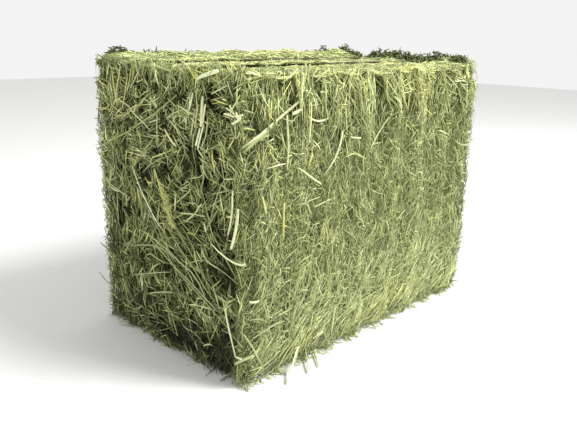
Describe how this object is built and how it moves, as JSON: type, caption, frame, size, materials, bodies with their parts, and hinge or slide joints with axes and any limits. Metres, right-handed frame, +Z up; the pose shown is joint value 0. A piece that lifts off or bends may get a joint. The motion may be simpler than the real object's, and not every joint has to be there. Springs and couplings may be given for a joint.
{
  "type": "square hay bale",
  "caption": "Small square hay bale of pressed green-yellow grass hay, tied with loops of twine",
  "frame": {"origin": "middle of the bale's footprint, on the surface that it stands on", "axes": "+X along the bale, in the direction of the twines; +Y across it; +Z up"},
  "size_m": [0.6184, 0.3968, 0.4735],
  "materials": {
    "hay": "matte",
    "twine": "matte"
  },
  "bodies": {
    "root": {"flake_1": "hay", "flake_2": "hay", "flake_3": "hay", "flake_4": "hay", "flake_5": "hay", "flake_6": "hay", "flake_7": "hay", "flake_8": "hay", "twine_front": "twine", "twine_back": "twine"}
  },
  "joints": []
}
